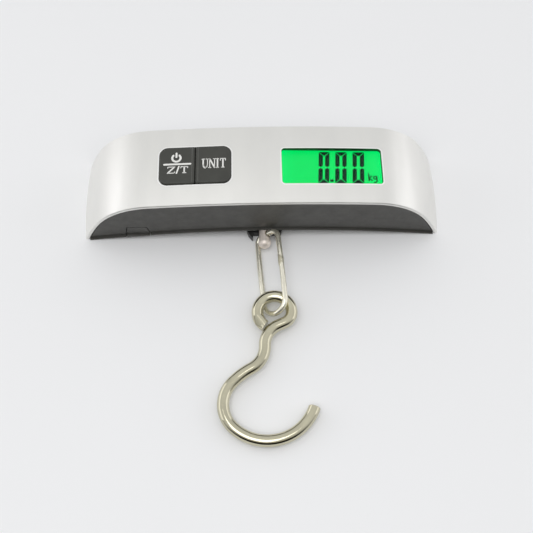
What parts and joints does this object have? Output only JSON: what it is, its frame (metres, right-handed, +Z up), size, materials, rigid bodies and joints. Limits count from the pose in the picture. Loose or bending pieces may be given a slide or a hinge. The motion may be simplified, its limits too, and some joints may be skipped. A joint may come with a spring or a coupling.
{
  "type": "digital luggage scale",
  "caption": "Arched hand-held scale with a sheet-metal top, lit display, two keys, load cell inside and a fold-out swivelling link and hook.",
  "frame": {"origin": "on the rest plane, under the middle of the grip's length and width", "axes": "+X along the grip towards the display, +Y towards the back, away from the hook, +Z up through the crown"},
  "size_m": [0.1296, 0.1093, 0.0257],
  "materials": {
    "cover_metal": "satin silver sheet",
    "dark_plastic": "fine grain",
    "key_plastic": "fine grain",
    "lens_clear": "clear acrylic",
    "lcd_green": "lit liquid crystal panel",
    "gasket_foam": "foam",
    "backlight_white": "light guide",
    "board_green": "solder resist",
    "part_black": "moulded",
    "part_mixed": "ceramic",
    "alloy": "milled",
    "gauge_foil": "foil on film",
    "sealant_white": "cured sealant",
    "wire_red": "insulated wire",
    "steel_bright": "machined",
    "steel_dark": "black",
    "nickel": "nickel plated",
    "cell_steel": "stamped",
    "spring_contact": "plated spring strip",
    "screw_steel": "zinc plated"
  },
  "bodies": {
    "grip": {"top_cover": "cover_metal", "upper_chassis": "dark_plastic", "bottom_housing": "dark_plastic", "display_lens": "lens_clear", "lens_gasket": "gasket_foam", "lcd_panel": "lcd_green", "lcd_backlight": "backlight_white", "backlight_leds": "backlight_white", "lcd_pins": "spring_contact", "circuit_board": "board_green", "main_chip": "part_black", "board_components": "part_mixed", "tact_switches": "part_black", "load_cell": "alloy", "strain_gauges": "gauge_foil", "gauge_sealant": "sealant_white", "load_cell_wires": "wire_red", "load_cell_bolts": "steel_dark", "hanger_clevis": "steel_bright", "clevis_screws": "screw_steel", "hanger_pin": "steel_bright", "pin_clips": "steel_bright", "coin_cell": "cell_steel", "battery_contact_negative": "spring_contact", "battery_contact_positive": "spring_contact", "housing_screws": "screw_steel", "board_screws": "screw_steel"},
    "power_key": {"power_button": "key_plastic"},
    "unit_key": {"unit_button": "key_plastic"},
    "door": {"battery_door": "dark_plastic"},
    "yoke": {"hanger_yoke": "steel_dark"},
    "post": {"swivel_post": "nickel", "post_retainer": "steel_bright"},
    "link": {"connecting_link": "nickel"},
    "hook": {"hook": "nickel"}
  },
  "joints": [
    {"name": "power_press", "type": "slide", "parent": "grip", "child": "power_key", "axis": [0, 0, -1], "range_m": [0, 0.0005], "stiffness_N_per_m": 400},
    {"name": "unit_press", "type": "slide", "parent": "grip", "child": "unit_key", "axis": [0, 0, -1], "range_m": [0, 0.0005], "stiffness_N_per_m": 400},
    {"name": "door_hinge", "type": "hinge", "parent": "grip", "child": "door", "pos_m": [-0.045, 0.011, 0.001], "axis": [1, 0, 0], "range_deg": [0, 70]},
    {"name": "hanger_fold", "type": "hinge", "parent": "grip", "child": "yoke", "pos_m": [0.00095, -0.002, 0.00345], "axis": [1, 0, 0], "range_deg": [0, 110]},
    {"name": "post_swivel", "type": "hinge", "parent": "yoke", "child": "post", "pos_m": [0.00095, -0.015, 0.00345], "axis": [0, 1, 0], "range_deg": [-120, 20]},
    {"name": "link_swing", "type": "hinge", "parent": "post", "child": "link", "pos_m": [0.00095, -0.01715, 0.00345], "axis": [0.7466, 0.0588, 0.6626], "range_deg": [-40, 45]},
    {"name": "hook_swing", "type": "hinge", "parent": "link", "child": "hook", "pos_m": [0.00382, -0.04719, 0.00396], "axis": [0, -0.0431, 0.9991], "range_deg": [-50, 50]}
  ]
}
